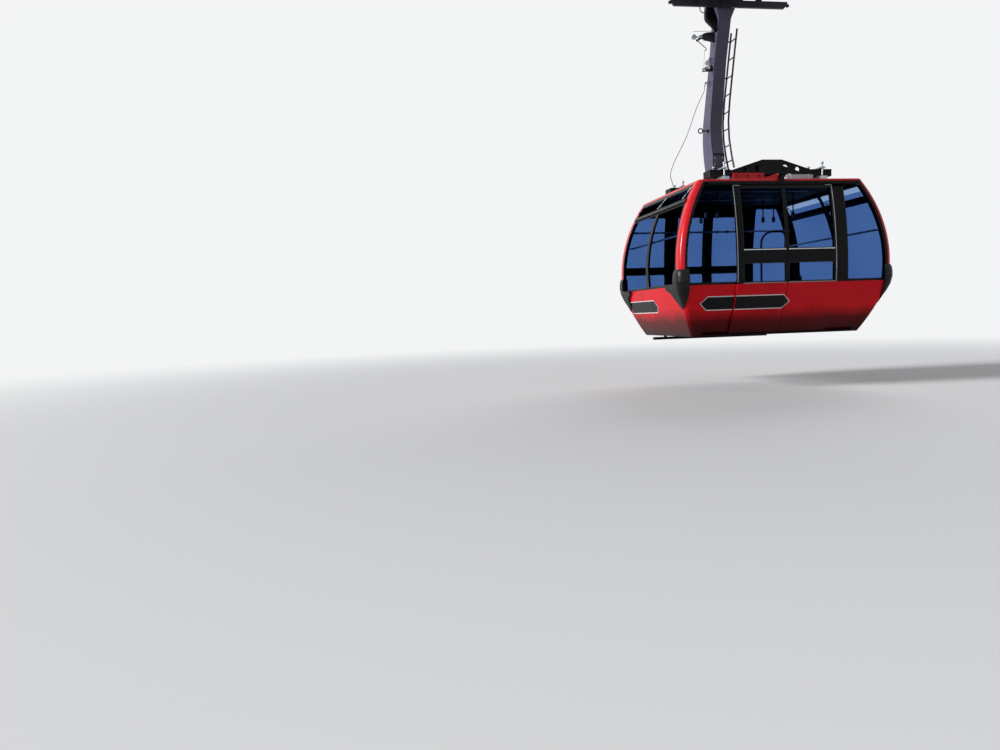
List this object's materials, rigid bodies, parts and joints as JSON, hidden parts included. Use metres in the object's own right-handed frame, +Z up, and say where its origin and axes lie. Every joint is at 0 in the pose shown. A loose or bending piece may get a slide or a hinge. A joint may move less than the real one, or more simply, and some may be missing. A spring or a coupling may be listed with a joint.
{
  "type": "three-rope gondola lift cabin with carriage",
  "caption": "Barrel-shaped red gondola cabin with sliding double door, curved hanger arm and wheeled carriage that rides on two track ropes.",
  "frame": {"origin": "centre of the haul rope in the grip, midway between the track ropes and midway along the carriage", "axes": "+X along the ropes, the doors face -Y, +Z up"},
  "size_m": [4.1124, 3.4172, 7.325],
  "materials": {
    "carriage_paint": "satin dark grey paint",
    "machined_steel": "machined steel",
    "grip_iron": "cast and machined",
    "arm_paint": "satin anthracite paint",
    "ladder_steel": "dark paint",
    "galvanised_steel": "galvanised",
    "cable_rubber": "matt black sheath",
    "frame_paint": "satin black paint",
    "red_paint": "gloss red paint",
    "black_frame": "satin black paint",
    "tinted_glass": "blue-grey tinted glazing",
    "floor_plate": "ribbed aluminium",
    "bumper_rubber": "black rubber",
    "black_steel": "black paint",
    "bench_plastic": "moulded dark grey",
    "stainless_tube": "brushed stainless tube",
    "dark_tube": "powder-coated tube",
    "wheel_iron": "machined cast iron"
  },
  "bodies": {
    "carriage": {"carriage_frame": "carriage_paint", "rockers": "carriage_paint", "hanger_pin": "machined_steel", "grip_body": "grip_iron", "grip_jaw": "grip_iron"},
    "cabin": {"hanger_head": "arm_paint", "hanger_arm": "arm_paint", "ladder": "ladder_steel", "rescue_bracket": "galvanised_steel", "slack_cable": "cable_rubber", "cable_gland": "machined_steel", "suspension_frame": "frame_paint", "cabin_mounts": "galvanised_steel", "roof_fairing": "red_paint", "cabin_roof": "red_paint", "corner_pillars": "red_paint", "near_window_frame": "black_frame", "far_window_frame": "black_frame", "end_window_frames": "black_frame", "near_glass": "tinted_glass", "far_glass": "tinted_glass", "end_glass": "tinted_glass", "vent_flaps": "tinted_glass", "near_lower_panels": "red_paint", "far_lower_panel": "red_paint", "end_lower_panels": "red_paint", "cabin_floor": "floor_plate", "door_track": "black_frame", "door_step": "black_frame", "bumpers": "bumper_rubber", "guide_rail": "black_steel", "benches": "bench_plastic", "handrails": "stainless_tube", "hoop_rail": "dark_tube"},
    "door_left": {"door_frame_left": "black_frame", "door_panel_left": "red_paint", "door_glass_left": "tinted_glass"},
    "door_right": {"door_frame_right": "black_frame", "door_panel_right": "red_paint", "door_glass_right": "tinted_glass"},
    "wheel_near_1": {"wheel_near_1": "wheel_iron"},
    "wheel_near_2": {"wheel_near_2": "wheel_iron"},
    "wheel_near_3": {"wheel_near_3": "wheel_iron"},
    "wheel_near_4": {"wheel_near_4": "wheel_iron"},
    "wheel_far_1": {"wheel_far_1": "wheel_iron"},
    "wheel_far_2": {"wheel_far_2": "wheel_iron"},
    "wheel_far_3": {"wheel_far_3": "wheel_iron"},
    "wheel_far_4": {"wheel_far_4": "wheel_iron"}
  },
  "joints": [
    {"name": "hanger_swing", "type": "hinge", "parent": "carriage", "child": "cabin", "pos_m": [0, 0.755, 0.28], "axis": [0, 1, 0], "range_deg": [-30, 30]},
    {"name": "door_right_slide", "type": "slide", "parent": "cabin", "child": "door_right", "axis": [1, 0, 0], "range_m": [0, 0.8]},
    {"name": "door_left_slide", "type": "slide", "parent": "cabin", "child": "door_left", "axis": [-1, 0, 0], "range_m": [0, 0.8]},
    {"name": "wheel_near_1_spin", "type": "hinge", "parent": "carriage", "child": "wheel_near_1", "pos_m": [-0.83, -0.4, 0.218], "axis": [0, 1, 0], "continuous": true},
    {"name": "wheel_near_2_spin", "type": "hinge", "parent": "carriage", "child": "wheel_near_2", "pos_m": [-0.41, -0.4, 0.218], "axis": [0, 1, 0], "continuous": true},
    {"name": "wheel_near_3_spin", "type": "hinge", "parent": "carriage", "child": "wheel_near_3", "pos_m": [0.41, -0.4, 0.218], "axis": [0, 1, 0], "continuous": true},
    {"name": "wheel_near_4_spin", "type": "hinge", "parent": "carriage", "child": "wheel_near_4", "pos_m": [0.83, -0.4, 0.218], "axis": [0, 1, 0], "continuous": true},
    {"name": "wheel_far_1_spin", "type": "hinge", "parent": "carriage", "child": "wheel_far_1", "pos_m": [-0.83, 0.4, 0.218], "axis": [0, 1, 0], "continuous": true},
    {"name": "wheel_far_2_spin", "type": "hinge", "parent": "carriage", "child": "wheel_far_2", "pos_m": [-0.41, 0.4, 0.218], "axis": [0, 1, 0], "continuous": true},
    {"name": "wheel_far_3_spin", "type": "hinge", "parent": "carriage", "child": "wheel_far_3", "pos_m": [0.41, 0.4, 0.218], "axis": [0, 1, 0], "continuous": true},
    {"name": "wheel_far_4_spin", "type": "hinge", "parent": "carriage", "child": "wheel_far_4", "pos_m": [0.83, 0.4, 0.218], "axis": [0, 1, 0], "continuous": true}
  ],
  "couplings": [
    {"joint": "door_left_slide", "follows": "door_right_slide", "ratio": 1}
  ]
}
